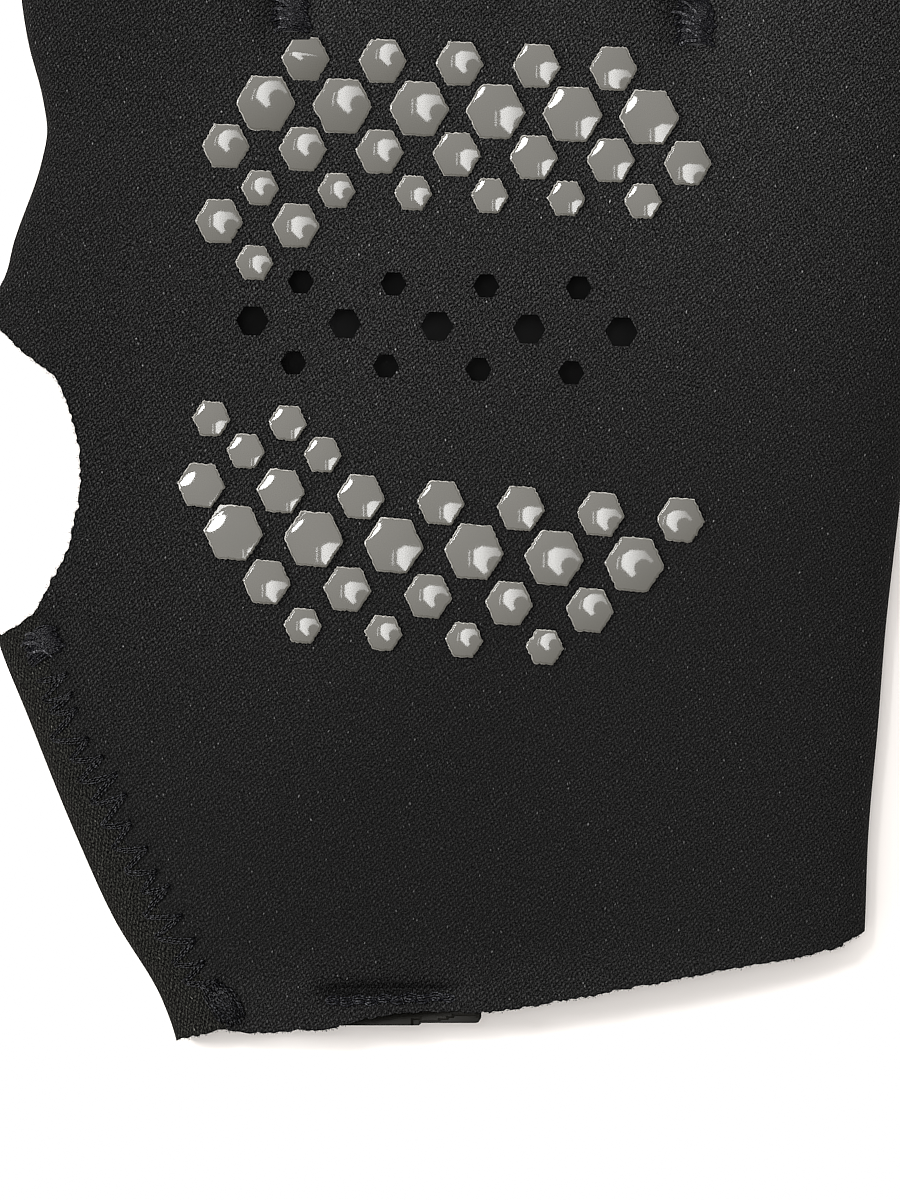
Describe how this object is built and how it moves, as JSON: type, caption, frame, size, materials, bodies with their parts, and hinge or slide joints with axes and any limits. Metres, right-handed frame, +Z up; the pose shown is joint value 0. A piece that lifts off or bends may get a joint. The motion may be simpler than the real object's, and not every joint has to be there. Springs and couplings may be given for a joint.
{
  "type": "half-finger training glove",
  "caption": "Half-finger neoprene training glove for the left hand, lying palm up, with six-sided silicone grip pads and vent holes on the palm.",
  "frame": {"origin": "on the table under the middle of the glove's box", "axes": "+X from the thumb side to the little finger, +Y from the wrist to the fingertips, +Z up out of the palm"},
  "size_m": [0.0995, 0.1361, 0.0107],
  "materials": {
    "knit": "black crepe knit face on neoprene, matt",
    "grip": "glossy warm grey printed silicone",
    "thread": "black polyester thread, slightly shiny",
    "tab": "smooth brown-black rubber, satin"
  },
  "bodies": {
    "root": {"palm_panel": "knit", "back_panel": "knit", "grip_upper_1_1": "grip", "grip_upper_1_2": "grip", "grip_upper_1_3": "grip", "grip_upper_1_4": "grip", "grip_upper_1_5": "grip", "grip_upper_2_1": "grip", "grip_upper_2_2": "grip", "grip_upper_2_3": "grip", "grip_upper_2_4": "grip", "grip_upper_2_5": "grip", "grip_upper_2_6": "grip", "grip_upper_3_1": "grip", "grip_upper_3_2": "grip", "grip_upper_3_3": "grip", "grip_upper_3_4": "grip", "grip_upper_3_5": "grip", "grip_upper_3_6": "grip", "grip_upper_3_7": "grip", "grip_upper_4_1": "grip", "grip_upper_4_2": "grip", "grip_upper_4_3": "grip", "grip_upper_4_4": "grip", "grip_upper_4_5": "grip", "grip_upper_4_6": "grip", "grip_upper_5_1": "grip", "grip_upper_5_2": "grip", "grip_upper_6_1": "grip", "grip_lower_1_1": "grip", "grip_lower_1_2": "grip", "grip_lower_2_1": "grip", "grip_lower_2_2": "grip", "grip_lower_3_1": "grip", "grip_lower_3_2": "grip", "grip_lower_3_3": "grip", "grip_lower_3_4": "grip", "grip_lower_3_5": "grip", "grip_lower_3_6": "grip", "grip_lower_3_7": "grip", "grip_lower_4_1": "grip", "grip_lower_4_2": "grip", "grip_lower_4_3": "grip", "grip_lower_4_4": "grip", "grip_lower_4_5": "grip", "grip_lower_4_6": "grip", "grip_lower_5_1": "grip", "grip_lower_5_2": "grip", "grip_lower_5_3": "grip", "grip_lower_5_4": "grip", "grip_lower_5_5": "grip", "grip_lower_6_1": "grip", "grip_lower_6_2": "grip", "grip_lower_6_3": "grip", "grip_lower_6_4": "grip", "tack_index_middle": "thread", "tack_middle_ring": "thread", "tack_ring_little": "thread", "tack_thumb": "thread", "wrist_tab": "tab"}
  },
  "joints": []
}
